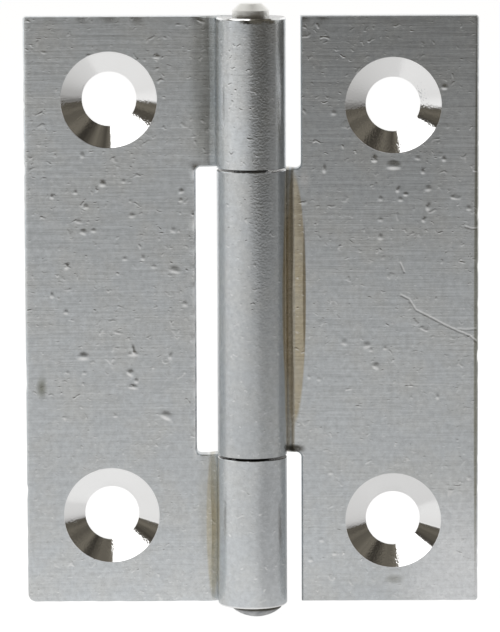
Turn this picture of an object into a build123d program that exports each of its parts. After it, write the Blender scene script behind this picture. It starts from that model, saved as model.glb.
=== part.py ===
from build123d import *

import math
import os

# Driving sizes, in millimetres
LEAF_LENGTH = 40.0
LEAF_REACH = 15.36
SHEET = 1.2
PIN_DIAMETER = 2.2
END_KNUCKLE_LENGTH = 10.15
HOLE_DIAMETER = 3.7
HOLE_PITCH = 28.4
HOLE_OFFSET = 9.6

# Clearances
PIN_CLEARANCE = 0.05
KNUCKLE_GAP = 0.15

# Rolled knuckle: the leaf's face stands behind the pin's axis, and the sheet is cranked back there
LEAF_SET_BACK = 0.6
CRANK_REACH = 0.85
CRANK_INNER_BEND = 0.3
CRANK_OUTER_BEND = 0.4

# The curl's cut end reaches this far past the plane of the leaf's face
SEAM_REACH = 0.3

# Shallow dish that the rolling leaves in the leaf beside each knuckle
DISH_WIDTH = 0.8
DISH_DEPTH = 0.07
DISH_RUN_OUT = 0.25
DISH_END_ROOM = 0.8

# Notches for the other leaf's knuckles
LEFT_NOTCH_ROOM = 1.42
RIGHT_NOTCH_ROOM = 1.0
NOTCH_CORNER = 0.35

# Countersunk screw holes
SINK_DIAMETER = 6.5
HOLE_LAND = 0.2

# Each leaf's pair of holes was punched a little above or below its middle
LEFT_HOLE_RISE = 0.19
RIGHT_HOLE_RISE = -0.23

# Corners and edges of the pressed blanks
CORNER = 0.2
WORN_CORNER = 0.55
EDGE_BREAK = 0.1

# Pin ends: a low head below, formed a little off the axis, and a tail peened flat above
HEAD_DIAMETER = 3.4
HEAD_RIM = 0.25
HEAD_HEIGHT = 0.9
HEAD_SHIFT = 0.25
TAIL_DIAMETER = 2.8
TAIL_FLAT = 1.5
TAIL_HEIGHT = 0.9
TAIL_SHOULDER = 1.0

# Cutting tools run this far past the metal
CUT_MARGIN = 2.0

# Degrees within which a face counts as square to an axis
SQUARE_WITHIN = 8.0

# Sizes worked out from the driving ones
bore_radius = PIN_DIAMETER / 2 + PIN_CLEARANCE
barrel_radius = bore_radius + SHEET
leaf_front = LEAF_SET_BACK
leaf_back = leaf_front + SHEET
hole_radius = HOLE_DIAMETER / 2
notch_length = LEAF_LENGTH - 2 * END_KNUCKLE_LENGTH
tab_length = notch_length - 2 * KNUCKLE_GAP
crank_end = barrel_radius + CRANK_REACH
left_notch_edge = barrel_radius + LEFT_NOTCH_ROOM
right_notch_edge = barrel_radius + RIGHT_NOTCH_ROOM


def knuckle_section():
    """Section of a leaf and its rolled knuckle, with the leaf towards +X and its back to +Y."""
    crank_radii = CRANK_INNER_BEND + CRANK_OUTER_BEND + SHEET
    crank = math.acos(1 - (bore_radius - leaf_front) / crank_radii)
    crank_deg = math.degrees(crank)
    crank_start = crank_end - crank_radii * math.sin(crank)
    inner_bend = (crank_start, bore_radius - CRANK_INNER_BEND)
    outer_bend = (crank_end, leaf_back + CRANK_OUTER_BEND)
    curl_end = math.asin((leaf_front + SEAM_REACH) / barrel_radius)
    curl_deg = 270 + math.degrees(curl_end)
    across, back = math.cos(curl_end), math.sin(curl_end)
    end_inside = (bore_radius * across, bore_radius * back)
    end_outside = (barrel_radius * across, barrel_radius * back)
    outline = Curve() + [
        Line((LEAF_REACH, leaf_front), (crank_end, leaf_front)),
        CenterArc(outer_bend, CRANK_OUTER_BEND + SHEET, 270 - crank_deg, crank_deg),
        CenterArc(inner_bend, CRANK_INNER_BEND, 90 - crank_deg, crank_deg),
        Line((crank_start, bore_radius), (0, bore_radius)),
        CenterArc((0, 0), bore_radius, 90, curl_deg),
        Line(end_inside, end_outside),
        CenterArc((0, 0), barrel_radius, 90, curl_deg),
        Line((0, barrel_radius), (crank_start, barrel_radius)),
        CenterArc(inner_bend, CRANK_INNER_BEND + SHEET, 90 - crank_deg, crank_deg),
        CenterArc(outer_bend, CRANK_OUTER_BEND, 270 - crank_deg, crank_deg),
        Line((crank_end, leaf_back), (LEAF_REACH, leaf_back)),
        Line((LEAF_REACH, leaf_back), (LEAF_REACH, leaf_front)),
    ]
    return make_face(outline)


def root_dish(length, middle):
    """Wide roller beside a knuckle of the given length and middle height, set deepest at the barrel."""
    half_length = length / 2 - DISH_END_ROOM
    roller_radius = (half_length ** 2 + DISH_DEPTH ** 2) / (2 * DISH_DEPTH)
    tilt = math.atan2(DISH_DEPTH, DISH_WIDTH)
    across, back = math.cos(tilt), math.sin(tilt)
    outer_edge = crank_end + DISH_RUN_OUT
    axis_start = (outer_edge - roller_radius * back, leaf_front - roller_radius * across, middle)
    roller_plane = Plane(axis_start, z_dir=(-across, back, 0))
    inward = (Align.CENTER, Align.CENTER, Align.MIN)
    return roller_plane * Cylinder(roller_radius, DISH_WIDTH, align=inward)


def rolled_blank():
    """Full-length leaf with its knuckle rolled, towards +X, before its notches and holes are cut."""
    return extrude(knuckle_section(), LEAF_LENGTH / 2, both=True)


def screw_hole(side, height):
    """Countersunk hole in the leaf on the given side, narrow at the back."""
    sink_depth = SHEET - HOLE_LAND
    spread = SINK_DIAMETER / 2 - hole_radius
    upward = (Align.CENTER, Align.CENTER, Align.MIN)
    bore = Cylinder(hole_radius, 2 * (SHEET + CUT_MARGIN))
    # The cone runs on to twice its depth, so that it opens cleanly through the leaf's face
    sink = Cone(hole_radius, hole_radius + 2 * spread, 2 * sink_depth, align=upward)
    back_plane = Plane((side * HOLE_OFFSET, leaf_back, height), z_dir=(0, -1, 0))
    return back_plane * (bore + Pos(0, 0, HOLE_LAND) * sink)


def notch_block(edge, low, high):
    """Block from the given edge to beyond the barrel, between two heights."""
    width = edge + barrel_radius + CUT_MARGIN
    depth = 2 * (barrel_radius + CUT_MARGIN)
    return Pos(edge - width / 2, 0, (low + high) / 2) * Box(width, depth, high - low)


def break_sheared_edges(leaf):
    """The leaf with a small bevel on each edge between a sheared face and a face of the sheet."""
    aligned = math.cos(math.radians(SQUARE_WITHIN))
    sheared, sheet = [], []
    for face in leaf.faces():
        if face.geom_type == GeomType.PLANE:
            is_sheet = abs(face.normal_at().Y) > aligned
            (sheet if is_sheet else sheared).append(face)
        elif face.geom_type == GeomType.CYLINDER:
            direction = face.axis_of_rotation.direction
            if abs(direction.Z) > aligned:
                sheet.append(face)
            elif not math.isclose(face.radius, hole_radius):
                sheared.append(face)
    sheet_edges = [edge for face in sheet for edge in face.edges()]
    sheared_edges = [edge for face in sheared for edge in face.edges()]
    shared = [a for a in sheared_edges if any(a.is_same(b) for b in sheet_edges)]
    return chamfer(shared, EDGE_BREAK)


def left_leaf():
    """Leaf with the upper and the lower knuckle, which hold the pin."""
    leaf = mirror(rolled_blank(), Plane.YZ)
    slot = mirror(notch_block(left_notch_edge, -notch_length / 2, notch_length / 2), Plane.YZ)
    leaf -= fillet(slot.edges().filter_by(Axis.Y).group_by(Axis.X)[0], NOTCH_CORNER)
    for height in (-HOLE_PITCH / 2, HOLE_PITCH / 2):
        leaf -= screw_hole(-1, height + LEFT_HOLE_RISE)
    leaf = fillet(leaf.edges().filter_by(Axis.Y).group_by(Axis.X)[0].sort_by(Axis.Z)[-1], CORNER)
    leaf = fillet(leaf.edges().filter_by(Axis.Y).group_by(Axis.X)[0].sort_by(Axis.Z)[0], WORN_CORNER)
    leaf = break_sheared_edges(leaf)
    knuckle_middle = (LEAF_LENGTH - END_KNUCKLE_LENGTH) / 2
    for height in (-knuckle_middle, knuckle_middle):
        leaf -= mirror(root_dish(END_KNUCKLE_LENGTH, height), Plane.YZ)
    return leaf


def right_leaf():
    """Leaf with the long middle knuckle, which turns on the pin."""
    top = notch_block(right_notch_edge, tab_length / 2, LEAF_LENGTH / 2 + CUT_MARGIN)
    top = fillet(top.edges().filter_by(Axis.Y).group_by(Axis.X)[-1].sort_by(Axis.Z)[0], NOTCH_CORNER)
    leaf = rolled_blank() - top - mirror(top, Plane.XY)
    for height in (-HOLE_PITCH / 2, HOLE_PITCH / 2):
        leaf -= screw_hole(1, height + RIGHT_HOLE_RISE)
    leaf = fillet(leaf.edges().filter_by(Axis.Y).group_by(Axis.X)[-1], CORNER)
    return break_sheared_edges(leaf) - root_dish(tab_length, 0)


def pin_head():
    """Low domed head under the lower knuckle."""
    seat = -LEAF_LENGTH / 2
    radius = HEAD_DIAMETER / 2
    dome_height = HEAD_HEIGHT - HEAD_RIM
    dome_radius = (radius ** 2 + dome_height ** 2) / (2 * dome_height)
    rim = (radius, seat - HEAD_RIM)
    tip = (0, seat - HEAD_HEIGHT)
    outline = Curve() + [
        RadiusArc(tip, rim, -dome_radius),
        Polyline(rim, (radius, seat), (0, seat), tip),
    ]
    return Pos(HEAD_SHIFT, 0, 0) * revolve(Plane.XZ * make_face(outline), Axis.Z)


def hinge_pin():
    """Round wire with its head below and its tail peened over the upper knuckle."""
    seat = LEAF_LENGTH / 2
    shaft = PIN_DIAMETER / 2
    base = (TAIL_DIAMETER / 2, seat)
    shoulder = (TAIL_FLAT / 2, seat + TAIL_HEIGHT)
    outline = Curve() + [
        Polyline((0, -seat), (shaft, -seat), (shaft, seat), base),
        RadiusArc(base, shoulder, -TAIL_SHOULDER),
        Polyline(shoulder, (0, seat + TAIL_HEIGHT), (0, -seat)),
    ]
    return revolve(Plane.XZ * make_face(outline), Axis.Z) + pin_head()


# Write one file for each physical piece
pieces = {"left_leaf": left_leaf(), "right_leaf": right_leaf(), "hinge_pin": hinge_pin()}
os.makedirs("parts", exist_ok=True)
for name, piece in pieces.items():
    export_step(piece, f"parts/{name}.step")
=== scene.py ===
"""Looks of a rolled butt hinge: satin zinc-plated leaves and a steel pin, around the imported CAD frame."""
import logging
import math
from collections.abc import Callable
from dataclasses import dataclass, field
from enum import Enum
from functools import partial

import bmesh
import bpy
from mathutils import Matrix, Quaternion, Vector, noise


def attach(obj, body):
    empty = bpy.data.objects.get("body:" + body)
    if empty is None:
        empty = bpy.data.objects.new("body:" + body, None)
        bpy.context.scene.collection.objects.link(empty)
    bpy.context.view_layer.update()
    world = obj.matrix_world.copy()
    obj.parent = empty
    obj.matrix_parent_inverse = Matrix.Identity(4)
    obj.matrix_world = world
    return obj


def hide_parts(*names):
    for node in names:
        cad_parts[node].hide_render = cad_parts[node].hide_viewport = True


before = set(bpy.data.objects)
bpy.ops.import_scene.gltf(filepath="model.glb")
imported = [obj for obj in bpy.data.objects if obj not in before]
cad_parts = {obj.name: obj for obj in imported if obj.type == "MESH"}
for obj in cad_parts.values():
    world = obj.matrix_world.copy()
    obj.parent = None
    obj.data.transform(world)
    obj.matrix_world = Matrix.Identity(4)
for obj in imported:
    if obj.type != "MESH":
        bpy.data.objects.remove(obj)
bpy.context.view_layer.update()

MM = 0.001
# Edges that turn more than this stay sharp, and faces that turn less than the other count as one
SHARP_DEG = 30.0
FLAT_DEG = 0.5
# Points of the plain mesh, and of a cut, that are closer than this in millimetres are one point
WELD = 0.001
CUT_WELD = 0.0001
# A face, and a point of a face, with this share of its direction along an axis faces along it
SQUARE_ON = 0.98
POINT_SQUARE_ON = 0.9
# A bell of the form used here is steepest at this many times its height over its run
BELL_SLOPE = 1.54
# Where in the noise the nicks and the chips are taken from
NICK_START = Vector((7.0, 3.0, 5.0))
CHIP_START = Vector((1.0, 9.0, 4.0))
# Name of the mesh layer that holds the painted highlights on blisters, scratches, the burr and the knuckles'
# rims
PAINTED_HIGHLIGHT_LAYER = "painted_highlight"
WHITE = (1.0, 1.0, 1.0, 1.0)
Node = bpy.types.Node
Link = Node | bpy.types.NodeSocket
Adder = Callable[..., Node]
# Place across the leaf and height
Point = tuple[float, float] | Vector
log = logging.getLogger("hinge")


class Side(Enum):
    """Which side of the pin a leaf lies on."""

    LEFT = -1
    RIGHT = 1


def linear(hex_colour: str) -> tuple[float, float, float, float]:
    """Turns an sRGB hex colour into a linear RGBA tuple.

    Args:
        hex_colour: Six hex digits.

    Returns:
        Linear red, green and blue, with alpha 1.
    """
    shares = [int(hex_colour[i:i + 2], 16) / 255 for i in (0, 2, 4)]
    return (*[c / 12.92 if c <= 0.04045 else ((c + 0.055) / 1.055) ** 2.4 for c in shares], 1.0)


def add_node(tree: bpy.types.NodeTree, kind: str, *values: object, inputs: dict | None = None,
             **settings: object) -> Node:
    """Adds a node with its settings, values and links. A node given as a value stands for its first output.

    Args:
        tree: The node tree.
        kind: Blender's type name, without the ShaderNode prefix.
        values: Values or links for the inputs that the node shows, in order; None leaves one as it is.
        inputs: Values or links by the input's name.
        settings: Attributes of the node.

    Returns:
        The new node.
    """
    made = tree.nodes.new("ShaderNode" + kind)
    for name, value in settings.items():
        setattr(made, name, value)
    pairs = list(zip([socket for socket in made.inputs if socket.enabled], values))
    pairs += [(made.inputs[name], value) for name, value in (inputs or {}).items()]
    for socket, value in pairs:
        if isinstance(value, Node):
            value = next(output for output in value.outputs if output.enabled)
        if isinstance(value, bpy.types.NodeSocket):
            tree.links.new(value, socket)
        elif value is not None:
            socket.default_value = value
    return made


def new_material(name: str) -> bpy.types.Material:
    """Makes an empty node material.

    Args:
        name: The material's name.

    Returns:
        The material, with no nodes in it.
    """
    material = bpy.data.materials.new(name)
    material.use_nodes = True
    material.node_tree.nodes.clear()
    return material


@dataclass(frozen=True)
class Mark:
    """A blister in the plating: its place on the leaf's face, its size, its turn and its slope."""

    across: float
    height: float
    length: float
    width: float
    turn_deg: float = 0.0
    slope: float = 0.06
    # The summit lies below the middle, so that the upper side is the longer and gentler one
    summit: float = -0.5
    # Painted highlight on the lower edge, in shares of the blister: brightness, half length, place and half
    # width
    rub: tuple[float, float, float, float] = (0.8, 0.9, -0.75, 0.55)
    # Blisters flatter than this get a fainter painted highlight
    highlight_slope: float = 0.08

    def local(self, point: Point) -> Point:
        """Turns a point of the face into shares of the blister's half length and half width.

        Args:
            point: The point.

        Returns:
            The shares along and across the blister.
        """
        turn = math.radians(self.turn_deg)
        east, north = point[0] - self.across, point[1] - self.height
        return (2 * (east * math.cos(turn) + north * math.sin(turn)) / self.length,
                2 * (north * math.cos(turn) - east * math.sin(turn)) / self.width)

    def shine(self, point: Point) -> float:
        """Works out the painted highlight on the blister's lower edge at one point of the face.

        Args:
            point: The point.

        Returns:
            1 where the painted highlight is full, and 0 where there is none.
        """
        along, aside = self.local(point)
        bright, half_length, place, half_width = self.rub
        patch = bright * (1 - (along / half_length) ** 2 - ((aside - place) / half_width) ** 2)
        return max(0.0, patch) * min(1.0, self.slope / self.highlight_slope)

    def lift(self, point: Point) -> float:
        """Works out how far the blister lifts one point of the face.

        Args:
            point: The point.

        Returns:
            The lift in millimetres.
        """
        along, aside = self.local(point)
        above = aside - self.summit
        aside = above / (1 - self.summit) if above > 0 else above / (1 + self.summit)
        away = along ** 2 + aside ** 2
        run = self.width / 2 * (1 - self.summit)
        return self.slope * run / BELL_SLOPE * (1 - away) ** 2 if away < 1 else 0.0

    def touches(self, point: Point, margin: float) -> bool:
        """Tells whether a point is on the blister or within a margin of it."""
        away = math.hypot(point[0] - self.across, point[1] - self.height)
        return away < max(self.length, self.width) / 2 + margin


@dataclass(frozen=True)
class Scratch:
    """A groove along a bent line on a leaf's face."""

    points: tuple[Point, ...]
    width: float = 0.2
    slope: float = 0.09
    # Painted highlight on the upper lip: its brightness over the slope, and its place as a share of the width
    lip: tuple[float, float] = (7.0, 0.4)

    def reach(self, point: Point) -> float:
        """Works out how far a point is from the scratch's line.

        Args:
            point: The point.

        Returns:
            The distance in millimetres.
        """
        across, height = point
        nearest = math.inf
        for (x0, z0), (x1, z1) in zip(self.points, self.points[1:]):
            run, rise = x1 - x0, z1 - z0
            share = ((across - x0) * run + (height - z0) * rise) / (run ** 2 + rise ** 2)
            share = min(1.0, max(0.0, share))
            nearest = min(nearest, math.hypot(across - x0 - share * run, height - z0 - share * rise))
        return nearest

    def lift(self, point: Point) -> float:
        """Works out how far the groove sinks one point of the face.

        Args:
            point: The point.

        Returns:
            The lift in millimetres, which is negative.
        """
        run = self.width / 2
        away = (self.reach(point) / run) ** 2
        return -self.slope * run / BELL_SLOPE * (1 - away) ** 2 if away < 1 else 0.0

    def shine(self, point: Point) -> float:
        """Works out the painted highlight on the groove's upper lip at one point of the face.

        Args:
            point: The point.

        Returns:
            1 where the painted highlight is full, and 0 where there is none.
        """
        bright, place = self.lip
        lip = place * self.width
        return max(0.0, bright * self.slope * (1 - self.reach((point[0], point[1] - lip)) / lip))

    def touches(self, point: Point, margin: float) -> bool:
        """Tells whether a point is in the groove or within a margin of it."""
        return self.reach(point) < self.width / 2 + margin


@dataclass(frozen=True)
class Grain:
    """One size of raised grain in the plating, in millimetres, and the share of places that have one."""

    spacing: float
    radius: float
    rise: float
    share: float


@dataclass(frozen=True)
class StainAndLightPatch:
    """A soft patch on a leaf's front, for stains, painted shade and painted highlights: its middle, half
    sizes, colour, strength and even core.
    """

    across: float
    height: float
    half_width: float
    half_height: float
    colour: str
    strength: float = 1.0
    core: float = 0.0


@dataclass(frozen=True)
class Surface:
    """Where a point of a leaf lies, as links in its material's nodes."""

    add: Adder
    leaf: "Leaf"
    # Place in millimetres and direction, each as three shares
    xyz: Node
    facing: Node
    # 1 in the countersinks and on the knuckles, and 0 elsewhere
    cone: Link
    barrel: Link
    # Place on the sheet laid out flat
    sheet: Link


@dataclass(frozen=True)
class SatinZinc:
    """Bright zinc plate on cold-rolled steel sheet."""

    # The plate mirrors the room softly, and its sideways rolling lines and small grains make it a satin grey.
    # The countersinks are smoother, so they show the room in hard bright and dark sectors
    colour: str = "D7DBDE"
    warm: str = "D9DBDB"
    cone: str = "FCFCFC"
    # White of the painted highlights on grains, blisters, scratches, the burr and the rims
    painted_highlight: str = "FFFFFF"
    # Painted shade on the knuckles' flat ends, in the gaps between them
    gap_shade: str = "4A463E"
    roughness: float = 0.22
    roughness_spread: float = 0.05
    barrel_roughness: float = 0.13
    side_roughness: float = 0.26
    cone_roughness: float = 0.07
    wall_roughness: float = 0.42
    # Clouds in the tone, about 3 mm apart, and a fine mottle with its dullest and brightest share
    clouds_per_mm: float = 0.3
    mottle_spacing: float = 0.4
    mottle: tuple[float, float] = (0.92, 1.1)
    # Rolling lines are finer than a pixel, so they are drawn wider than the real 0.03 mm
    line_length: float = 4.0
    line_width: float = 0.11
    line_height: float = 0.0017
    streak_length: float = 7.0
    streak_width: float = 0.45
    streak_height: float = 0.003
    # Share of the lines that is left on the knuckles, and of the whole relief there and in the countersinks
    barrel_lines: float = 0.5
    barrel_relief: float = 0.85
    cone_relief: float = 0.03
    grains: tuple[Grain, ...] = (Grain(1.25, 0.22, 0.007, 0.6), Grain(0.66, 0.13, 0.0042, 0.6),
                                 Grain(0.33, 0.07, 0.0018, 0.6))
    # Grains lie crowded or thin, vary in size and rise, and are wider than tall: least and greatest shares
    grain_odds: tuple[float, float] = (0.3, 1.7)
    grain_sizes: tuple[float, float] = (0.4, 1.3)
    grain_rises: tuple[float, float] = (0.3, 1.0)
    grain_squash: tuple[float, float] = (0.8, 1.25)
    # A grain's outline wobbles this often and this far, in shares of the spacing
    grain_wobble: tuple[float, float] = (2.5, 0.45)
    # Its lower edge gets a painted highlight between these shares of its radius, this bright
    grain_lip: tuple[float, float, float] = (0.1, 0.6, 1.5)
    # Pits that the rolling left, deep on the knuckles' right front and shallow to the left of it
    pit_spacing: float = 0.15
    pit_height: float = 0.0065
    pit_front: tuple[float, float] = (-0.6, 0.5)
    pit_left: float = 0.2
    # Chatter that the countersink's cutter left in some places
    chatter_spacing: float = 0.14
    chatter_height: float = 0.007
    chatter_crowd: tuple[float, float] = (0.44, 0.6)
    # Where the noise passes from one tone, patch of stain, painted shade or highlight, or crowd to the next
    noise_span: tuple[float, float] = (0.3, 0.7)
    tint_span: tuple[float, float] = (0.4, 0.7)
    crowd_span: tuple[float, float] = (0.35, 0.65)
    ragged_span: tuple[float, float] = (0.3, 0.6)
    ragged_least: float = 0.8
    # Share of the direction that tells the front, the sheared walls, and the knuckles' ends and sides
    front_facing: float = 0.3
    wall_facing: tuple[float, float] = (0.8, 0.5)
    end_facing: tuple[float, float] = (0.85, 0.97)
    side_facing: tuple[float, float] = (0.6, 0.8)
    # Soft edges of the countersinks and of the knuckles, outside and inside their radius
    sink_edge: tuple[float, float] = (0.03, -0.01)
    barrel_edge: tuple[float, float] = (0.3, 0.05)
    # The countersinks' mask ends this far before the leaf's back
    back_clear: float = 0.1

    def build(self, leaf: "Leaf") -> bpy.types.Material:
        """Makes the material of one leaf.

        Args:
            leaf: The leaf, for its holes, knuckles, stains, painted shade and highlights.

        Returns:
            The material.
        """
        material = new_material(f"zinc_plated_steel_sheet_{leaf.node}")
        add = partial(add_node, material.node_tree)
        surface = self.survey(add, leaf)
        height, shine, lines = self.relief(surface)
        bump = add("Bump", inputs={"Strength": 1.0, "Distance": MM, "Height": height})
        shader = add("BsdfPrincipled", inputs={
            "Base Color": self.gap_shaded(surface, self.colours(surface, shine)), "Metallic": 1.0,
            "Roughness": self.roughnesses(surface, lines), "Normal": bump})
        add("OutputMaterial", shader)
        return material

    def survey(self, add: Adder, leaf: "Leaf") -> Surface:
        """Finds where a point lies, with the sheet laid out flat so that its lines go round the knuckles.

        Args:
            add: Adds a node to the material.
            leaf: The leaf, for its holes and knuckles.

        Returns:
            The point's place, its masks and its place on the flat sheet.
        """
        coords = add("TexCoord")
        place = add("VectorMath", coords.outputs["Object"], 1 / MM, operation="SCALE")
        xyz = add("SeparateXYZ", place)
        x, y, z = xyz.outputs
        flat = add("CombineXYZ", x, None, z)
        centres = [(leaf.side.value * leaf.hole_offset, 0.0, height) for height in leaf.hole_heights]
        reaches = [add("VectorMath", flat, centre, operation="DISTANCE") for centre in centres]
        nearest = add("Math", *reaches, operation="MINIMUM")
        inside = add("MapRange", nearest, *(leaf.sink_radius + edge for edge in self.sink_edge))
        ahead = add("Math", y, leaf.back - self.back_clear, operation="LESS_THAN")
        cone = add("Math", inside, ahead, operation="MULTIPLY")
        across = add("VectorMath", place, (1.0, 1.0, 0.0), operation="MULTIPLY")
        radius = add("VectorMath", across, operation="LENGTH")
        barrel = add("MapRange", radius, *(leaf.barrel_radius + edge for edge in self.barrel_edge))
        turn = add("Math", x, add("Math", y, -1.0, operation="MULTIPLY"), operation="ARCTAN2")
        arc = add("Math", turn, leaf.barrel_radius, operation="MULTIPLY")
        sheet = add("CombineXYZ", add("Mix", barrel, x, arc), z)
        return Surface(add, leaf, xyz, add("SeparateXYZ", coords.outputs["Normal"]), cone, barrel, sheet)

    def stretched_noise(self, surface: Surface, length: float, width: float, detail: float) -> Link:
        """Makes noise drawn out across the leaf.

        Args:
            surface: The place on the leaf.
            length: Length of a streak in millimetres.
            width: Width of a streak in millimetres.
            detail: The noise's detail.

        Returns:
            The noise, about 0.5.
        """
        add, spread = surface.add, (1 / length, 1 / width, 0.0)
        along = add("VectorMath", surface.sheet, spread, operation="MULTIPLY")
        return add("TexNoise", along, 1.0, detail, 0.6, noise_dimensions="2D")

    def relief(self, surface: Surface) -> tuple[Link, Link, Link]:
        """Makes the rolling lines, the streaks, the grains, the chatter and the pits.

        Args:
            surface: The place on the leaf.

        Returns:
            The relief's height in millimetres, the painted highlights, and the lines.
        """
        add = surface.add
        lines = self.stretched_noise(surface, self.line_length, self.line_width, 2.0)
        streaks = self.stretched_noise(surface, self.streak_length, self.streak_width, 1.0)
        fine = add("Math", lines, self.line_height, operation="MULTIPLY")
        drawn = add("Math", streaks, self.streak_height, fine, operation="MULTIPLY_ADD")
        rolled = add("MapRange", surface.barrel, 0.0, 1.0, 1.0, self.barrel_lines)
        total = add("Math", drawn, rolled, operation="MULTIPLY")
        crowd = add("TexNoise", surface.sheet, self.clouds_per_mm, 2.0, noise_dimensions="2D")
        shine = add("Attribute", attribute_name=PAINTED_HIGHLIGHT_LAYER).outputs["Fac"]
        for grain in self.grains:
            total, shine = self.add_grains(surface, grain, crowd, total, shine)
        in_cone = add("MapRange", surface.cone, 0.0, 1.0, 1.0, self.cone_relief)
        on_barrel = add("MapRange", surface.barrel, 0.0, 1.0, 1.0, self.barrel_relief)
        share = add("Math", in_cone, on_barrel, operation="MULTIPLY")
        total = add("Math", total, share, operation="MULTIPLY")
        chatter = add("MapRange", crowd, *self.chatter_crowd, 0.0, self.chatter_height)
        total = self.add_noise(surface, total, self.chatter_spacing, 1.0, chatter, surface.cone)
        across = add("SeparateXYZ", surface.sheet).outputs["X"]
        pits = add("MapRange", across, *self.pit_front, self.pit_left * self.pit_height, self.pit_height)
        return self.add_noise(surface, total, self.pit_spacing, 2.0, pits, surface.barrel), shine, lines

    def add_grains(self, surface: Surface, grain: Grain, crowd: Link, total: Link,
                   shine: Link) -> tuple[Link, Link]:
        """Adds one size of grain to the relief, wider than tall and closer together in some places, with a
        painted highlight on each grain's lower edge.

        Args:
            surface: The place on the leaf.
            grain: The grain's size.
            crowd: Slow noise that gathers the grains.
            total: The relief's height so far.
            shine: The shine so far.

        Returns:
            The height and the shine with these grains.
        """
        add, width = surface.add, grain.radius / grain.spacing
        often, far = self.grain_wobble
        wobble = add("TexNoise", surface.sheet, often / grain.spacing, 0.0, noise_dimensions="2D")
        shift = add("VectorMath", wobble.outputs["Color"], far * grain.spacing, operation="SCALE")
        moved = add("VectorMath", surface.sheet, shift, operation="ADD")
        squash = (*(share / grain.spacing for share in self.grain_squash), 0.0)
        scaled = add("VectorMath", moved, squash, operation="MULTIPLY")
        cells = add("TexVoronoi", scaled, 1.0, voronoi_dimensions="2D")
        draws = add("SeparateColor", cells.outputs["Color"]).outputs
        odds = add("MapRange", crowd, *self.crowd_span, *(odd * grain.share for odd in self.grain_odds))
        kept = add("Math", draws[0], odds, operation="LESS_THAN")
        size = add("MapRange", draws[1], 0.0, 1.0, *(share * width for share in self.grain_sizes))
        bell = add("MapRange", cells, 0.0, size, 1.0, 0.0, interpolation_type="SMOOTHSTEP")
        rise = add("MapRange", draws[2], 0.0, 1.0, *(share * grain.rise for share in self.grain_rises))
        height = add("Math", kept, rise, operation="MULTIPLY")
        raised = add("Math", bell, height, operation="MULTIPLY")
        inward = add("VectorMath", cells.outputs["Position"], scaled, operation="SUBTRACT")
        upward = add("SeparateXYZ", inward).outputs["Y"]
        start, end, bright = self.grain_lip
        below = add("MapRange", upward, start * width, end * width, 0.0, bright / grain.rise)
        return (add("Math", bell, height, total, operation="MULTIPLY_ADD"),
                add("Math", raised, below, shine, operation="MULTIPLY_ADD"))

    def add_noise(self, surface: Surface, total: Link, spacing: float, detail: float, depth: Link,
                  where: Link) -> Link:
        """Adds fine noise to the relief, for chatter or pits.

        Args:
            surface: The place on the leaf.
            total: The relief's height so far.
            spacing: The noise's spacing in millimetres.
            detail: The noise's detail.
            depth: Its depth in millimetres.
            where: The mask of where it lies.

        Returns:
            The height with the noise.
        """
        fine = surface.add("TexNoise", surface.sheet, 1 / spacing, detail, noise_dimensions="2D")
        there = surface.add("Math", depth, where, operation="MULTIPLY")
        return surface.add("Math", fine, there, total, operation="MULTIPLY_ADD")

    def colours(self, surface: Surface, shine: Link) -> Link:
        """Mixes the plate's tones, its stains with painted shade and highlights among them, the painted
        highlights of the mesh layer and the grains, and the bright countersinks.

        Args:
            surface: The place on the leaf.
            shine: The painted highlights.

        Returns:
            The base colour.
        """
        add, sheet = surface.add, surface.sheet
        cloud = add("TexNoise", sheet, self.clouds_per_mm, 5.0, 0.65, noise_dimensions="2D")
        tint = add("MapRange", cloud, *self.tint_span)
        plate = add("Mix", tint, linear(self.colour), linear(self.warm), data_type="RGBA")
        with_stains_and_light = self.with_stains_and_light(surface, cloud, plate)
        fine = add("TexNoise", sheet, 1 / self.mottle_spacing, 4.0, 0.7, noise_dimensions="2D")
        mottle = add("MapRange", fine, *self.noise_span, *self.mottle)
        level = add("Math", mottle, self.painted_sheen_level(surface), operation="MULTIPLY")
        uneven = add("VectorMath", with_stains_and_light, level, operation="SCALE")
        painted_highlight = add("Mix", shine, uneven, linear(self.painted_highlight), data_type="RGBA")
        return add("Mix", surface.cone, painted_highlight, linear(self.cone), data_type="RGBA")

    def with_stains_and_light(self, surface: Surface, cloud: Link, plate: Link) -> Link:
        """Lays the leaf's stains, painted shade and painted highlights over its plate, a little ragged, on
        the front alone.

        Args:
            surface: The place on the leaf.
            cloud: The noise that makes them ragged.
            plate: The plate's colour.

        Returns:
            The stained colour.
        """
        add, xyz = surface.add, surface.xyz
        ahead = add("Math", surface.facing.outputs["Y"], self.front_facing, operation="LESS_THAN")
        ragged = add("MapRange", cloud, *self.ragged_span, self.ragged_least, 1.0)
        front = add("Math", ahead, ragged, operation="MULTIPLY")
        flat = add("CombineXYZ", xyz.outputs["X"], xyz.outputs["Z"])
        for stain_or_light in surface.leaf.stains_and_light:
            middle = (stain_or_light.across, stain_or_light.height, 0.0)
            spread = (1 / stain_or_light.half_width, 1 / stain_or_light.half_height, 0.0)
            away = add("VectorMath", flat, middle, operation="SUBTRACT")
            scaled = add("VectorMath", away, spread, operation="MULTIPLY")
            reach = add("VectorMath", scaled, operation="LENGTH")
            inside = add("MapRange", reach, 1.0, stain_or_light.core, 0.0, stain_or_light.strength,
                         interpolation_type="SMOOTHSTEP")
            share = add("Math", inside, front, operation="MULTIPLY")
            plate = add("Mix", share, plate, linear(stain_or_light.colour), data_type="RGBA")
        return plate

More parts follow.
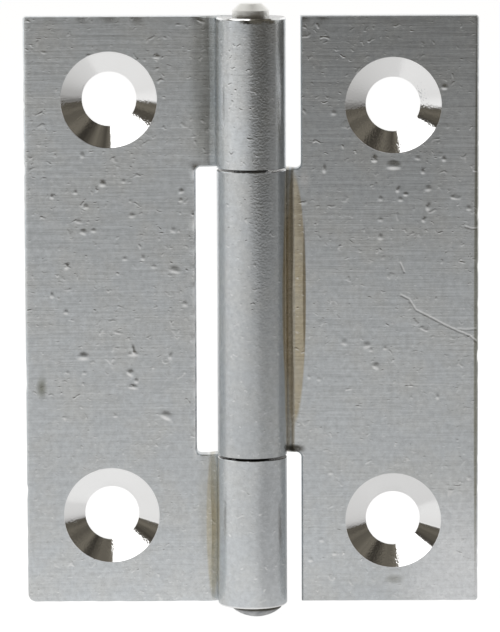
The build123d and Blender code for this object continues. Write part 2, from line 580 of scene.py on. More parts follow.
    def painted_sheen_level(self, surface: Surface) -> Link:
        """Paints sheen and shade: makes the plate brighter or duller up the leaf and on its knuckles.

        Args:
            surface: The place on the leaf.

        Returns:
            The plate's brightness, about 1.
        """
        add, leaf = surface.add, surface.leaf
        low, high, ratio = leaf.fade
        flat = add("Math", 1.0, surface.barrel, operation="SUBTRACT")
        upward = add("MapRange", surface.xyz.outputs["Z"], low, high, 0.0, ratio - 1,
                     interpolation_type="SMOOTHSTEP")
        fade = add("Math", upward, flat, 1.0, operation="MULTIPLY_ADD")
        return add("Math", surface.barrel, leaf.barrel_painted_shade - 1, fade, operation="MULTIPLY_ADD")

    def gap_shaded(self, surface: Surface, plated: Link) -> Link:
        """Darkens the flat ends of the knuckles: painted shade in the gaps between them.

        Args:
            surface: The place on the leaf.
            plated: The plate's colour.

        Returns:
            The base colour.
        """
        add = surface.add
        upright = add("Math", surface.facing.outputs["Z"], operation="ABSOLUTE")
        end = add("MapRange", upright, *self.end_facing)
        share = add("Math", end, surface.barrel, operation="MULTIPLY")
        return add("Mix", share, plated, linear(self.gap_shade), data_type="RGBA")

    def roughnesses(self, surface: Surface, lines: Link) -> Link:
        """Mixes the roughness of the sheet, its sheared walls, the knuckles and the countersinks.

        Args:
            surface: The place on the leaf.
            lines: The rolling lines.

        Returns:
            The roughness.
        """
        add, facing = surface.add, surface.facing
        front = add("Math", facing.outputs["Y"], operation="ABSOLUTE")
        wall = add("MapRange", front, *self.wall_facing)
        sheet = add("MapRange", lines, *self.noise_span, self.roughness - self.roughness_spread,
                    self.roughness + self.roughness_spread)
        sheared = add("Mix", wall, sheet, self.wall_roughness)
        across = add("Math", facing.outputs["X"], operation="ABSOLUTE")
        side = add("MapRange", across, *self.side_facing, self.barrel_roughness, self.side_roughness)
        rolled = add("Mix", surface.barrel, sheared, side)
        return add("Mix", surface.cone, rolled, self.cone_roughness)


@dataclass(frozen=True)
class DrawnSteel:
    """Bright drawn steel wire, with its ends hammered."""

    # A plain grey metal, patchy and softly dented on the head, and paler on the hammered tail, as a painted
    # highlight
    colour: str = "C9C9C9"
    dull: str = "95989B"
    tail: str = "F4F3EF"
    gap_shade: str = "55534C"
    patches_per_mm: float = 1.6
    patch_span: tuple[float, float] = (0.35, 0.7)
    roughness: float = 0.3
    roughness_spread: tuple[float, float] = (-0.1, 0.12)
    tail_roughness: float = 0.34
    dent_spacing: float = 0.2
    dent_height: float = 0.02
    # Half the height over which the tail's painted highlight starts, and the soft end, below the knuckle, of
    # the collar of painted shade in the gap above the head
    tail_edge: float = 0.1
    collar: tuple[float, float] = (0.35, 0.2)

    def build(self, seat: float) -> bpy.types.Material:
        """Makes the pin's material.

        Args:
            seat: Height of the knuckles' ends above and below the middle.

        Returns:
            The material.
        """
        material = new_material("drawn_steel_wire")
        add = partial(add_node, material.node_tree)
        coords = add("TexCoord")
        place = add("VectorMath", coords.outputs["Object"], 1 / MM, operation="SCALE")
        height = add("SeparateXYZ", place).outputs["Z"]
        patches = add("TexNoise", place, self.patches_per_mm, 4.0)
        tone = add("MapRange", patches, *self.patch_span)
        wire = add("Mix", tone, linear(self.colour), linear(self.dull), data_type="RGBA")
        # The tail's paler tone is a painted highlight
        tail = add("MapRange", height, seat - self.tail_edge, seat + self.tail_edge)
        tail_brightened = add("Mix", tail, wire, linear(self.tail), data_type="RGBA")
        # Collar of painted shade in the gap between the lower knuckle and the pin's head
        above = add("MapRange", height, *(-seat - edge for edge in self.collar))
        below = add("Math", height, 0.0, operation="LESS_THAN")
        collar = add("Math", above, below, operation="MULTIPLY")
        collar_shaded = add("Mix", collar, tail_brightened, linear(self.gap_shade), data_type="RGBA")
        spread = (self.roughness + share for share in self.roughness_spread)
        wire_rough = add("MapRange", patches, 0.0, 1.0, *spread)
        rough = add("Mix", tail, wire_rough, self.tail_roughness)
        dents = add("TexNoise", place, 1 / self.dent_spacing, 2.0)
        bump = add("Bump", inputs={"Strength": 1.0, "Distance": self.dent_height * MM, "Height": dents})
        shader = add("BsdfPrincipled", inputs={
            "Base Color": collar_shaded, "Metallic": 1.0, "Roughness": rough, "Normal": bump})
        add("OutputMaterial", shader)
        return material


def put_in_place(worn: bmesh.types.BMesh, node: str, body: str) -> bpy.types.Object:
    """Makes a worn mesh into the object that stands for a plain piece.

    Args:
        worn: The worn mesh, which is used up.
        node: The plain piece's node.
        body: The body that it moves with.

    Returns:
        The worn piece.
    """
    worn.normal_update()
    for edge in worn.edges:
        edge.smooth = edge.calc_face_angle(0.0) < math.radians(SHARP_DEG)
    mesh = bpy.data.meshes.new(f"{node}_worn")
    worn.to_mesh(mesh)
    worn.free()
    piece = bpy.data.objects.new(f"{node}_worn", mesh)
    bpy.context.scene.collection.objects.link(piece)
    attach(piece, body)
    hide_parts(node)
    return piece


def dress(piece: bpy.types.Object, material: bpy.types.Material) -> None:
    """Gives a piece its material and shades it smooth between its sharp edges.

    Args:
        piece: The piece.
        material: Its material.
    """
    piece.data.materials.append(material)
    piece.data.polygons.foreach_set("use_smooth", [True] * len(piece.data.polygons))
    weighted = piece.modifiers.new("even_shading", "WEIGHTED_NORMAL")
    weighted.keep_sharp = True


def cut_across(worn: bmesh.types.BMesh, place: tuple[float, float, float],
               facing: tuple[float, float, float]) -> None:
    """Cuts all faces of a mesh along a plane.

    Args:
        worn: The mesh.
        place: A point of the plane in millimetres.
        facing: The plane's direction.
    """
    everything = worn.verts[:] + worn.edges[:] + worn.faces[:]
    bmesh.ops.bisect_plane(worn, geom=everything, dist=CUT_WELD * MM, plane_co=Vector(place) * MM,
                           plane_no=facing)


# Left leaf, in order: a darker tan strip at the bottom knuckle's root in two layers, painted shade where the
# sheet meets the top knuckle, a dark patch on the long edge, and painted shade on the bottom knuckle's right
# front
LEFT_STAINS_AND_LIGHT = (
    StainAndLightPatch(-3.1, -13.6, 0.9, 5.2, "BAB7AB", 0.35, 0.2), StainAndLightPatch(-2.7, -14.6, 0.5, 5.6, "C9C1AA", 0.7, 0.75),
    StainAndLightPatch(-3.2, 15.6, 1.1, 7.6, "84857C", 0.48, 0.35), StainAndLightPatch(-14.3, -5.2, 0.5, 1.1, "7F8070", 0.8),
    StainAndLightPatch(1.3, -14.8, 1.7, 8.0, "BEC1C4", 0.85, 0.3))
# Right leaf, in order: a paler patch low and one high on the outer part, a tan lens at the middle knuckle's
# root, tan in its own colour and darker with painted shade, a painted shadow line where the sheet starts to
# bend, painted shade in the valley beside the middle knuckle in two layers, paler next to it, painted shade
# in the corner at the knuckle's lower end, a darker olive band along the long edge, a small grey patch, and a
# painted highlight where the sheet bends at the knuckle's top
RIGHT_STAINS_AND_LIGHT = (
    StainAndLightPatch(14.0, -18.0, 5.5, 8.0, "F6F8FA", 0.9, 0.15), StainAndLightPatch(14.6, 12.0, 3.0, 12.0, "E8EBED", 0.6),
    StainAndLightPatch(2.86, 0.85, 0.85, 8.9, "C8BDA5", 1.0, 0.88), StainAndLightPatch(3.56, 1.5, 0.13, 5.5, "857B66", 0.8, 0.5),
    StainAndLightPatch(2.78, 0.0, 0.2, 14.0, "BBB6AA", 0.9, 0.6), StainAndLightPatch(2.45, 0.0, 0.22, 14.0, "DBD4C7", 0.9, 0.7),
    StainAndLightPatch(2.9, -9.45, 0.9, 0.4, "4A473E", 0.95, 0.3), StainAndLightPatch(15.2, 0.0, 0.17, 21.0, "8E8C76", 0.66, 0.6),
    StainAndLightPatch(9.7, -18.5, 0.9, 0.45, "A0A09A", 0.7), StainAndLightPatch(3.6, 9.0, 0.5, 0.9, "F2F2F2", 0.8))
LEFT_MARKS = tuple(Mark(*row) for row in (
    (-11.46, -2.99, 1.02, 0.62, 0, 0.09), (-5.78, -7.09, 1.15, 0.68, -25, 0.09),
    (-8.07, -2.58, 0.34, 0.89, 10, 0.08), (-8.07, -2.85, 1.02, 0.41, 0, 0.08),
    (-8.21, -4.15, 0.68, 0.55, -35, 0.1), (-7.87, -4.70, 0.41, 0.41, 0, 0.09),
    (-8.08, -5.11, 0.95, 0.41, -8, 0.09), (-9.31, -7.09, 0.41, 0.34, 0, 0.07),
    (-12.55, -4.15, 0.47, 0.27, -10, 0.06), (-11.40, -4.15, 0.47, 0.34, 0, 0.06),
    (-9.08, -1.41, 0.88, 0.27, -14, 0.07), (-5.49, -2.99, 0.41, 0.62, -20, 0.06),
    (-12.61, 0.03, 0.47, 0.41, 0, 0.07), (-10.06, 8.79, 0.61, 0.55, 0, 0.08),
    (-8.64, 8.92, 0.41, 0.34, 0, 0.06), (-11.90, 8.17, 0.41, 0.34, 0, 0.07),
    (-13.46, 7.90, 0.41, 0.41, -10, 0.07), (-11.22, 7.21, 0.54, 0.41, 12, 0.07),
    (-8.10, 6.60, 0.54, 0.41, 0, 0.06), (-8.17, 7.55, 0.41, 0.27, 0, 0.05),
    (-11.70, 6.19, 0.68, 0.34, -8, 0.06), (-11.36, 5.50, 0.61, 0.48, -20, 0.07),
    (-10.69, 5.57, 0.47, 0.34, 0, 0.07), (-4.77, 8.24, 0.54, 0.41, 15, 0.07),
    (-4.78, 7.62, 0.41, 0.34, 0, 0.07), (-5.26, 5.57, 0.54, 0.41, -20, 0.05),
    (-8.59, 3.65, 0.47, 0.34, 0, 0.06), (-7.37, 3.72, 0.41, 0.48, 0, 0.06),
    (-6.62, 3.11, 0.61, 0.34, -5, 0.05), (-5.20, 2.90, 1.09, 0.55, -14, 0.06),
    (-12.46, 3.17, 0.41, 0.62, -20, 0.06), (-13.55, 1.19, 0.41, 0.48, 0, 0.07),
    (-4.53, 0.57, 0.54, 0.48, 0, 0.06), (-6.37, 17.34, 0.61, 0.41, 0, 0.07),
    (-11.41, 10.70, 0.41, 0.48, 0, 0.05)))
RIGHT_MARKS = tuple(Mark(*row) for row in (
    (9.61, 9.95, 1.22, 0.68, 0, 0.09), (8.33, 10.40, 0.47, 0.60, 0, 0.09),
    (11.24, 10.43, 0.54, 0.34, -10, 0.06), (13.01, 10.36, 0.41, 0.41, 0, 0.07),
    (4.93, 9.75, 0.34, 0.75, 0, 0.05), (11.58, 9.54, 0.34, 0.48, 0, 0.06),
    (9.95, 8.31, 0.34, 0.55, -25, 0.07), (10.42, 7.97, 0.47, 0.34, 0, 0.08),
    (10.08, 7.62, 0.47, 0.34, 0, 0.07), (8.72, 7.69, 0.47, 0.41, 0, 0.05),
    (8.72, 6.25, 0.54, 0.34, 0, 0.05), (8.72, 5.09, 0.47, 0.55, 0, 0.05),
    (13.61, 7.76, 0.41, 0.34, 0, 0.07), (11.92, 8.38, 0.61, 0.48, 10, 0.06),
    (11.98, 7.14, 0.41, 0.68, -15, 0.06), (11.70, 6.25, 0.34, 0.48, -30, 0.07),
    (14.69, 7.01, 0.47, 0.41, 0, 0.06), (6.31, -2.10, 0.68, 0.55, -15, 0.05),
    (7.74, -2.30, 0.75, 0.55, 20, 0.06), (8.08, -2.64, 0.41, 0.34, 0, 0.06),
    (9.03, -2.51, 0.41, 0.34, 0, 0.06), (8.48, -3.74, 0.68, 0.55, -30, 0.07),
    (3.86, -4.49, 0.34, 0.34, 0, 0.06), (4.54, -4.63, 0.41, 0.34, 0, 0.06),
    (10.78, -5.11, 0.47, 0.27, 0, 0.07), (12.61, -5.86, 0.34, 0.48, 0, 0.07),
    (5.33, -11.06, 0.47, 0.41, 0, 0.06), (4.70, -15.72, 0.47, 0.41, 0, 0.06),
    (3.95, -17.09, 0.47, 0.41, 0, 0.08), (5.58, -16.68, 0.47, 0.34, 0, 0.08),
    (14.76, -11.47, 0.41, 0.41, 0, 0.06), (13.03, 15.22, 0.54, 0.41, 0, 0.1),
    (5.56, 13.51, 0.47, 0.41, 0, 0.05)))
RIGHT_SCRATCHES = (
    Scratch(((10.12, 1.05), (10.67, 0.78), (11.14, 0.03), (12.09, -0.45), (13.10, -1.00), (13.98, -1.41),
             (14.80, -1.75), (15.27, -2.16))),
    Scratch(((13.98, -1.27), (14.53, -1.34), (15.34, -1.27)), slope=0.06),
    Scratch(((10.07, 3.24), (10.20, 2.97), (10.33, 2.63))),
    Scratch(((14.48, 5.71), (14.89, 5.57), (15.37, 5.57))),
    Scratch(((8.68, -5.04), (10.78, -5.11), (13.77, -5.18)), slope=0.03))


@dataclass
class Leaf:
    """One leaf with its rolled knuckles, with the marks and worn edges that the plain sheet doesn't have."""

    node: str
    side: Side
    body: str
    hole_rise: float
    notch_edge: float
    knuckle_ends: tuple[float, ...]
    marks: tuple[Mark, ...] = ()
    scratches: tuple[Scratch, ...] = ()
    stains_and_light: tuple[StainAndLightPatch, ...] = ()
    # Painted sheen and shade: the plate's brightness changes between two heights to a ratio, and is another
    # on the knuckles
    fade: tuple[float, float, float] = (0.0, 1.0, 1.0)
    barrel_painted_shade: float = 1.0
    reach: float = 15.36
    half_length: float = 20.0
    hole_offset: float = 9.6
    hole_pitch: float = 28.4
    sink_radius: float = 3.25
    barrel_radius: float = 2.35
    front: float = 0.6
    back: float = 1.8
    # The flat face starts this far from the barrel, and its cells a little further
    root: float = 0.9
    cell_root: float = 1.2
    cell: float = 0.25
    mark_cuts: int = 3
    scratch_cuts: int = 5
    # The front of the sheet, down to these depths, is worn, and gets painted highlights and the burr
    worn_depth: float = 0.7
    highlight_and_burr_depth: float = 0.15
    # Long and short edges rolled over, with nicks: their spread and inset along the leaf and at its ends
    edge_roll: float = 0.28
    edge_cuts: tuple[float, ...] = (1.0, 0.85, 0.7, 0.55)
    edge_drop: float = 0.07
    end_drop: float = 0.175
    nicks_per_mm: float = 1.1
    nick_floor: float = 0.1
    nick_inset: float = 0.12
    end_nick_inset: float = 0.2
    # The plain bevel, how far past it, the face or the barrel a point still counts, and the ends' bevel
    bevel: float = 0.1
    bevel_room: float = 1.1
    face_room: float = 0.02
    barrel_room: float = 0.01
    end_bevel: float = 0.015
    # Burr along the slot, between two heights: its place beside the edge, its spread, rise and painted
    # highlight
    burr: tuple[float, float] = (0.0, 0.0)
    burr_beside: tuple[float, float] = (-0.05, 0.12)
    burrs_per_mm: float = 2.6
    burr_floor: float = -0.05
    burr_rise: float = 0.1
    burr_shine: float = 0.35
    # Rims of the knuckles: chips on the outer ones, the bevel left on the inner ones and at the top, how far
    # the rim reaches, and the painted highlight along it
    chips_per_mm: float = 1.6
    chip_depth: float = 0.04
    inner_bevel: float = 0.3
    top_bevel: float = 0.6
    rim_reach: float = 1.05
    rim_shine: float = 0.9
    finish: SatinZinc = field(default_factory=SatinZinc)

    @property
    def hole_heights(self) -> tuple[float, float]:
        """Heights of the two screw holes."""
        return self.hole_rise - self.hole_pitch / 2, self.hole_rise + self.hole_pitch / 2

    def build(self) -> bpy.types.Object:
        """Copies the plain leaf, cuts its faces into small cells and wears them.

        Returns:
            The worn leaf.
        """
        worn = bmesh.new()
        worn.from_mesh(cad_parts[self.node].data)
        bmesh.ops.remove_doubles(worn, verts=worn.verts, dist=WELD * MM)
        sinks = worn.copy()
        plain_faces = [face for face in sinks.faces if not self.in_sink(face)]
        bmesh.ops.delete(sinks, geom=plain_faces, context="FACES")
        bmesh.ops.delete(worn, geom=[face for face in worn.faces if self.in_sink(face)], context="FACES")
        bmesh.ops.dissolve_limit(worn, angle_limit=math.radians(FLAT_DEG), verts=worn.verts, edges=worn.edges)
        self.cut_cells(worn)
        self.refine(worn)
        worn.normal_update()
        # Painted highlights, kept in a mesh layer for the material
        painted_highlight = worn.verts.layers.float.new(PAINTED_HIGHLIGHT_LAYER)
        for vertex in worn.verts:
            place = vertex.co / MM
            vertex[painted_highlight] = self.rub(place)
            vertex.co = self.wear(place, vertex.normal) * MM
        cones = bpy.data.meshes.new(f"{self.node}_countersinks")
        sinks.to_mesh(cones)
        sinks.free()
        worn.from_mesh(cones)
        bpy.data.meshes.remove(cones)
        return put_in_place(worn, self.node, self.body)

    def in_sink(self, face: bmesh.types.BMFace) -> bool:
        """Tells whether a face belongs to a screw hole or its countersink, whose smooth cone isn't cut.

        Args:
            face: A face of the leaf.

        Returns:
            Whether it does.
        """
        middle = face.calc_center_median() / MM
        offset = middle.x - self.side.value * self.hole_offset
        inside = any(math.hypot(offset, middle.z - height) < self.sink_radius for height in self.hole_heights)
        return inside and abs(face.normal.y) < SQUARE_ON

    def cut_cells(self, worn: bmesh.types.BMesh) -> None:
        """Cuts the leaf across and along, closer together near its long edge.

        Args:
            worn: The leaf's mesh.
        """
        start = self.barrel_radius + self.cell_root
        columns = int((self.reach - self.edge_roll - start) / self.cell)
        places = [start + column * self.cell for column in range(columns)]
        places += [self.reach - share * self.edge_roll for share in self.edge_cuts]
        for place in places:
            cut_across(worn, (self.side.value * place, 0.0, 0.0), (1.0, 0.0, 0.0))
        for row in range(int(2 * self.half_length / self.cell)):
            cut_across(worn, (0.0, 0.0, (row + 0.5) * self.cell - self.half_length), (0.0, 0.0, 1.0))

    def refine(self, worn: bmesh.types.BMesh) -> None:
        """Divides the cells of the face again under each mark and scratch.

        Args:
            worn: The leaf's mesh.
        """
        for wear, cuts in ((self.marks, self.mark_cuts), (self.scratches, self.scratch_cuts)):
            edges = set()
            for face in worn.faces:
                middle = (face.calc_center_median() / MM).xz
                if face.normal.y < -SQUARE_ON and any(one.touches(middle, self.cell) for one in wear):
                    edges.update(face.edges)
            if edges:
                bmesh.ops.subdivide_edges(worn, edges=list(edges), cuts=cuts, use_grid_fill=True)

    def wear(self, place: Vector, normal: Vector) -> Vector:
        """Moves one point of the plain leaf to its worn place.

        Args:
            place: The point in millimetres.
            normal: The surface's direction there.

        Returns:
            The worn point in millimetres.
        """
        moved = place.copy()
        if abs(place.x) > self.barrel_radius + self.root:
            if normal.y < -POINT_SQUARE_ON:
                for mark in (*self.marks, *self.scratches):
                    moved.y -= mark.lift(place.xz)
            if place.y < self.front + self.worn_depth:
                self.wear_edges(place, moved)
        if self.on_burr(place):
            moved.y -= self.burr_rise * max(0.0, noise.noise(place * self.burrs_per_mm) - self.burr_floor)
        for end in self.knuckle_ends:
            if abs(place.z - end) < self.rim_reach * self.bevel and self.on_barrel(place):
                self.wear_rim(place, end, moved)
        return moved

    def wear_edges(self, place: Vector, moved: Vector) -> None:
        """Rolls over and nicks the long edge and the two short ones.

        Args:
            place: A point of the plain leaf in millimetres.
            moved: Its worn place, which is changed.
        """
        near = max(0.0, (abs(place.x) - self.reach + self.edge_roll) / self.edge_roll)
        near_end = max(0.0, (abs(place.z) - self.half_length + self.edge_roll) / self.edge_roll)
        nick = max(0.0, noise.noise(place * self.nicks_per_mm + NICK_START) - self.nick_floor)
        moved.y += self.edge_drop * near ** 2 * (1 + nick) + self.end_drop * near_end ** 2 * nick
        moved.x -= self.side.value * self.nick_inset * nick * near ** 4
        on_face = place.y < self.front + self.face_room
        if on_face and abs(place.z) > self.half_length - self.bevel_room * self.bevel:
            moved.z = math.copysign(self.half_length - self.end_bevel, place.z)
        moved.z -= math.copysign(self.end_nick_inset * nick * near_end ** 4, place.z)

    def wear_rim(self, place: Vector, end: float, moved: Vector) -> None:
        """Closes the bevel of an inner rim of a knuckle, and chips an outer one.

        Args:
            place: A point of the plain rim in millimetres.
            end: Height of the knuckle's end.
            moved: The point's worn place, which is changed.
        """
        outer = abs(end) > self.half_length - self.bevel
        chip = max(0.0, noise.noise(place * self.chips_per_mm + CHIP_START)) if outer else 0.0
        left = 1.0 if outer else self.inner_bevel
        inset = left * self.bevel * (self.top_bevel if outer and end > 0 else 1.0)
        share = abs(place.z - end) / self.bevel
        worn_radius = self.barrel_radius - inset * (1 - share) - self.chip_depth * chip
        radius = math.hypot(place.x, place.y)
        moved.x, moved.y = place.x * worn_radius / radius, place.y * worn_radius / radius
        moved.z = end + (place.z - end) * left

    def rub(self, place: Vector) -> float:
        """Works out the painted highlight at one point of the plain leaf.

        Args:
            place: The point in millimetres.

        Returns:
            1 where the painted highlight is full, and 0 where there is none.
        """
        if place.y > self.front + self.highlight_and_burr_depth:
            return 0.0
        if self.on_burr(place):
            return self.burr_shine
        if abs(place.z) > self.half_length - self.rim_reach * self.bevel and self.on_barrel(place):
            return self.rim_shine
        return min(1.0, max(mark.shine(place.xz) for mark in (*self.marks, *self.scratches)))

    def on_barrel(self, place: Vector) -> bool:
        """Tells whether a point of the plain leaf is on a knuckle's round face or its bevel."""
        inner = self.barrel_radius - self.bevel_room * self.bevel
        return inner < math.hypot(place.x, place.y) < self.barrel_radius + self.barrel_room

    def on_burr(self, place: Vector) -> bool:
        """Tells whether a point of the plain leaf is on the slot's burred edge.

        Args:
            place: The point in millimetres.

        Returns:
            Whether it is.
        """
        low, high = self.burr
        near, far = self.burr_beside
        beside = near < abs(place.x) - self.notch_edge < far
        return beside and low < place.z < high and place.y < self.front + self.highlight_and_burr_depth

    def dress(self, piece: bpy.types.Object) -> None:
        """Gives the leaf its satin zinc plate."""
        dress(piece, self.finish.build(self))


@dataclass
class HingePin:
    """The pin with its formed ends, and its peened tail flattened round the rim."""

    node: str = "hinge_pin"
    body: str = "fixed_leaf"
    seat: float = 20.0
    shaft_radius: float = 1.1
    wall_radius: float = 1.25
    wall_height: float = 0.45
    flat_radius: float = 0.75
    tail_height: float = 0.9
    # Points this close to the shaft, or below the seat, stay where they are
    shaft_room: float = 0.05
    finish: DrawnSteel = field(default_factory=DrawnSteel)

    def build(self) -> bpy.types.Object:
        """Copies the plain pin and flattens the shoulder of its tail into a wall and a slope.

        Returns:
            The worn pin.
        """
        worn = bmesh.new()
        worn.from_mesh(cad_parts[self.node].data)
        bmesh.ops.remove_doubles(worn, verts=worn.verts, dist=WELD * MM)
        cut_across(worn, (0.0, 0.0, self.seat + self.wall_height), (0.0, 0.0, 1.0))
        for vertex in worn.verts:
            vertex.co = self.wear(vertex.co / MM) * MM
        return put_in_place(worn, self.node, self.body)

    def wear(self, place: Vector) -> Vector:
        """Moves one point of the plain pin to its worn place.

        Args:
            place: The point in millimetres.

        Returns:
            The worn point in millimetres.
        """
        rise = place.z - self.seat
        radius = math.hypot(place.x, place.y)
        inner = self.shaft_radius if rise < self.wall_height / 2 else self.flat_radius / 2
        if rise < -WELD or radius < inner + self.shaft_room:
            return place
        share = max(0.0, (rise - self.wall_height) / (self.tail_height - self.wall_height))
        worn_radius = self.wall_radius + (self.flat_radius - self.wall_radius) * share
        return Vector((place.x * worn_radius / radius, place.y * worn_radius / radius, place.z))

    def dress(self, piece: bpy.types.Object) -> None:
        """Gives the pin its drawn steel."""
        dress(piece, self.finish.build(self.seat))


@dataclass(frozen=True)
class MattPaper:
    """Matt white paper, with a painted pool of light round the hinge in the glow that mirrors see. Places and
    reaches are in millimetres.
    """

    # The camera sees plain near-white. The bare metal mirrors the painted pool of light, which is brightest
    # at the hinge's foot and to the left, and takes its soft greys from it
    colour: str = "B8B8B8"
    shown: float = 0.95
    pool_middle: tuple[float, float, float] = (-500.0, -150.0, -21.0)
    pool_reach: float = 1000.0
    pool_tones: tuple[tuple[float, float], ...] = (
        (0.0, 0.76), (0.25, 0.61), (0.36, 0.56), (0.42, 0.51),
        (0.5, 0.41), (0.6, 0.34), (0.75, 0.27), (0.97, 0.2))
    # Shade in front, to the right: its middle, where it ends and how dark it is
    shade_middle: tuple[float, float, float] = (360.0, -600.0, -21.0)
    shade_edge: tuple[float, float] = (300.0, 500.0)
    shade_tone: float = 0.15
    # Light round the foot, wider than deep: where it starts and is full, and how much it adds
    foot_spread: tuple[float, float, float] = (0.4, 1.0, 0.0)
    close_light: tuple[float, float, float] = (60.0, 4.0, 0.155)
    broad_light: tuple[float, float, float] = (170.0, 70.0, 0.065)
    # Dimmer to the right by bearing, less so close by, and again far off
    right_bearing: tuple[float, float] = (0.15, 0.65)
    right_tone: float = 0.72
    right_reach: tuple[float, float] = (20.0, 100.0)
    right_near: float = 0.6
    right_half: tuple[float, float] = (-0.02, 0.02)
    right_far: tuple[float, float, float] = (130.0, 300.0, -0.12)
    # White behind the hinge
    backdrop: tuple[float, float] = (20.0, 150.0)

    def build(self) -> bpy.types.Material:
        """Makes the material.

        Returns:
            The material.
        """
        material = new_material("matt_white_paper")
        add = partial(add_node, material.node_tree)
        geometry = add("NewGeometry")
        place = add("VectorMath", geometry.outputs["Position"], 1 / MM, operation="SCALE")
        xyz = add("SeparateXYZ", place)
        lit = add("Math", self.pool(add, place), self.foot_light(add, place), operation="ADD")
        sided = add("Math", lit, self.right_share(add, xyz), operation="MULTIPLY")
        behind = add("MapRange", xyz.outputs["Y"], *self.backdrop)
        mirrored = add("Mix", behind, sided, 1.0)
        rays = add("LightPath").outputs
        seen = add("Math", rays["Is Camera Ray"], rays["Is Transmission Ray"], operation="MAXIMUM")
        level = add("Mix", seen, mirrored, self.shown)
        shown = add("Math", seen, rays["Is Glossy Ray"], operation="MAXIMUM")
        strength = add("Math", shown, level, operation="MULTIPLY")
        matt = add("BsdfDiffuse", linear(self.colour))
        glow = add("Emission", WHITE, strength)
        add("OutputMaterial", add("AddShader", matt, glow))
        return material

    def pool(self, add: Adder, place: Link) -> Link:
        """Makes the pool of light, with the shade in front of it.

        Args:
            add: Adds a node to the material.
            place: The place on the paper.

        Returns:
            The light's tone.
        """
        away = add("VectorMath", place, self.pool_middle, operation="DISTANCE")
        share = add("MapRange", away, 0.0, self.pool_reach)
        pool = add("ValToRGB", share)
        stops = pool.color_ramp.elements
        while len(stops) < len(self.pool_tones):
            stops.new(1.0)
        for stop, (position, tone) in zip(stops, self.pool_tones):
            stop.position, stop.color = position, (tone, tone, tone, 1.0)
        apart = add("VectorMath", place, self.shade_middle, operation="DISTANCE")
        shade = add("MapRange", apart, *self.shade_edge, self.shade_tone, 1.0,
                    interpolation_type="SMOOTHSTEP")
        return add("Math", pool, shade, operation="MULTIPLY")

    def foot_light(self, add: Adder, place: Link) -> Link:
        """Makes the light that is added round the hinge's foot.

        Args:
            add: Adds a node to the material.
            place: The place on the paper.

        Returns:
            The added light.
        """
        flat = add("VectorMath", place, self.foot_spread, operation="MULTIPLY")
        away = add("VectorMath", flat, operation="LENGTH")
        lights = [add("MapRange", away, start, full, 0.0, added, interpolation_type="SMOOTHSTEP")
                  for start, full, added in (self.close_light, self.broad_light)]
        return add("Math", *lights, operation="ADD")

    def right_share(self, add: Adder, xyz: Node) -> Link:
        """Works out how much of the light is left on the right.

        Args:
            add: Adds a node to the material.
            xyz: The place on the paper, as three shares.

        Returns:
            The share, which is 1 on the left.
        """
        flat = add("CombineXYZ", xyz.outputs["X"], xyz.outputs["Y"])
        heading = add("VectorMath", flat, operation="NORMALIZE")
        bearing = add("SeparateXYZ", heading).outputs["X"]
        away = add("VectorMath", flat, operation="LENGTH")
        side = add("MapRange", bearing, *self.right_bearing, 1.0, self.right_tone,
                   interpolation_type="SMOOTHSTEP")
        reach = add("MapRange", away, *self.right_reach, self.right_near, 1.0)
        near = add("Mix", reach, 1.0, side)
        half = add("MapRange", bearing, *self.right_half)
        start, end, change = self.right_far
        far = add("MapRange", away, start, end, 0.0, change, interpolation_type="SMOOTHSTEP")
        distant = add("Math", half, far, 1.0, operation="MULTIPLY_ADD")
        return add("Math", near, distant, operation="MULTIPLY")


@dataclass(frozen=True)
class DimRoom:
    """The dim room above the paper, white where the camera sees it."""

    # Brown-grey walls and things out of focus, which the countersinks and blisters mirror as dark patches
    dark: str = "35322D"
    light: str = "6C675D"
    things_scale: float = 2.4
    things_range: tuple[float, float] = (0.38, 0.62)
    # Pale wall behind the hinge, which only mirrors show
    wall: str = "E0E0DE"
    wall_edge: tuple[float, float] = (-0.1, 0.12)

    def build(self) -> bpy.types.World:
        """Makes the world.

        Returns:
            The world.
        """
        world = bpy.data.worlds.new("dim_room")
        world.use_nodes = True
        world.node_tree.nodes.clear()
        add = partial(add_node, world.node_tree)
        rays = add("LightPath").outputs
        around = add("TexCoord").outputs["Generated"]
        things = add("TexNoise", around, self.things_scale, 3.0)
        share = add("MapRange", things, *self.things_range)
        dim = add("Mix", share, linear(self.dark), linear(self.light), data_type="RGBA")
        heading = add("SeparateXYZ", around).outputs["Y"]
        behind = add("MapRange", heading, *self.wall_edge)
        wall = add("Math", behind, rays["Is Glossy Ray"], operation="MULTIPLY")
        mirrored = add("Mix", wall, dim, linear(self.wall), data_type="RGBA")
        room = add("Background", mirrored, 1.0)
        white = add("Background", WHITE, 1.0)
        add("OutputWorld", add("MixShader", rays["Is Camera Ray"], room, white))
        return world


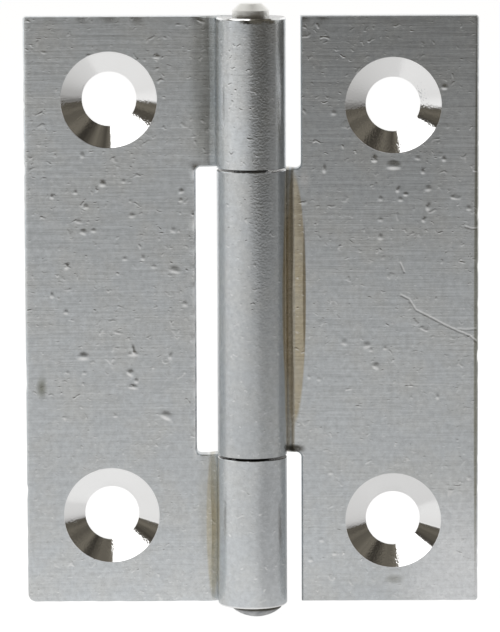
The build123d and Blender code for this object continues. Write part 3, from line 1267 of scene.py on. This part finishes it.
@dataclass
class Studio:
    """A pale paper sweep, one soft lamp to the upper left, the room and the camera."""

    floor_height: float = -21.0
    sweep_reach: float = 4000.0
    wall_place: float = 900.0
    wall_bend: float = 250.0
    wall_height: float = 900.0
    bend_steps: int = 16
    lamp_size: tuple[float, float] = (440.0, 300.0)
    lamp_watts: float = 0.65
    lamp_distance: float = 450.0
    lamp_away: tuple[float, float, float] = (-0.507, -0.431, 0.747)
    lamp_wide: tuple[float, float, float] = (0.863, -0.059, 0.502)
    focal_pixels: float = 4427.5
    image_height: int = 632
    sensor: float = 36.0
    distance: float = 299.7
    elevation_deg: float = 7.61
    roll_deg: float = -0.211
    target: tuple[float, float, float] = (-0.124, 0.0, -0.248)
    clip: tuple[float, float] = (0.01, 100.0)
    paper: MattPaper = field(default_factory=MattPaper)
    room: DimRoom = field(default_factory=DimRoom)

    def build(self) -> None:
        """Builds the sweep, the lamp, the room and the camera."""
        self.build_sweep()
        self.build_lamp()
        bpy.context.scene.world = self.room.build()
        self.build_camera()

    def build_sweep(self) -> None:
        """Builds the paper that runs from the floor up behind the hinge."""
        profile = [(-self.sweep_reach, 0.0)]
        for step in range(self.bend_steps + 1):
            turn = math.radians(90) * step / self.bend_steps
            profile.append((self.wall_place + self.wall_bend * math.sin(turn),
                            self.wall_bend * (1 - math.cos(turn))))
        profile.append((self.wall_place + self.wall_bend, self.wall_height))
        points = [(aside * MM, along * MM, (self.floor_height + up) * MM)
                  for along, up in profile for aside in (-self.sweep_reach, self.sweep_reach)]
        faces = [(2 * row, 2 * row + 1, 2 * row + 3, 2 * row + 2) for row in range(len(profile) - 1)]
        mesh = bpy.data.meshes.new("paper_sweep")
        mesh.from_pydata(points, [], faces)
        mesh.polygons.foreach_set("use_smooth", [True] * len(faces))
        mesh.materials.append(self.paper.build())
        sweep = bpy.data.objects.new("paper_sweep", mesh)
        bpy.context.scene.collection.objects.link(sweep)

    def build_lamp(self) -> None:
        """Builds the soft lamp to the upper left, a little in front."""
        lamp = bpy.data.lights.new("soft_lamp", "AREA")
        lamp.shape = "RECTANGLE"
        lamp.size, lamp.size_y = (size * MM for size in self.lamp_size)
        lamp.energy = self.lamp_watts
        shown = bpy.data.objects.new("soft_lamp", lamp)
        away = Vector(self.lamp_away).normalized()
        wide = Vector(self.lamp_wide)
        wide = (wide - away * wide.dot(away)).normalized()
        turn = Matrix((wide, away.cross(wide), away)).transposed()
        shown.location = away * self.lamp_distance * MM
        shown.rotation_mode = "QUATERNION"
        shown.rotation_quaternion = turn.to_quaternion()
        bpy.context.scene.collection.objects.link(shown)

    def build_camera(self) -> None:
        """Sets the camera at the photograph's place."""
        camera = bpy.data.cameras.new("camera")
        camera.lens = self.focal_pixels * self.sensor / self.image_height
        camera.sensor_width = self.sensor
        camera.clip_start, camera.clip_end = self.clip
        shown = bpy.data.objects.new("camera", camera)
        rise = math.radians(self.elevation_deg)
        back = Vector((0.0, -math.cos(rise), math.sin(rise)))
        shown.location = (Vector(self.target) + back * self.distance) * MM
        shown.rotation_mode = "QUATERNION"
        roll = Quaternion((0.0, 0.0, 1.0), math.radians(self.roll_deg))
        shown.rotation_quaternion = (-back).to_track_quat("-Z", "Y") @ roll
        bpy.context.scene.collection.objects.link(shown)
        bpy.context.scene.camera = shown


def main() -> None:
    """Dresses the hinge and builds the studio."""
    logging.basicConfig(level=logging.INFO)
    bpy.context.scene.view_settings.view_transform = "Standard"
    left = Leaf("left_leaf", Side.LEFT, "fixed_leaf", hole_rise=0.19, notch_edge=3.77,
                knuckle_ends=(-20.0, -9.85, 9.85, 20.0), marks=LEFT_MARKS, stains_and_light=LEFT_STAINS_AND_LIGHT,
                burr=(-10.0, 10.0), fade=(5.0, 14.0, 1.16))
    right = Leaf("right_leaf", Side.RIGHT, "moving_leaf", hole_rise=-0.23, notch_edge=3.35,
                 knuckle_ends=(-9.7, 9.7), marks=RIGHT_MARKS, stains_and_light=RIGHT_STAINS_AND_LIGHT, scratches=RIGHT_SCRATCHES,
                 fade=(-1.0, 10.0, 0.9), barrel_painted_shade=0.89)
    for part in (left, right, HingePin()):
        piece = part.build()
        part.dress(piece)
        log.info("built and dressed %s, %d faces", part.node, len(piece.data.polygons))
    Studio().build()


if __name__ == "__main__":
    main()
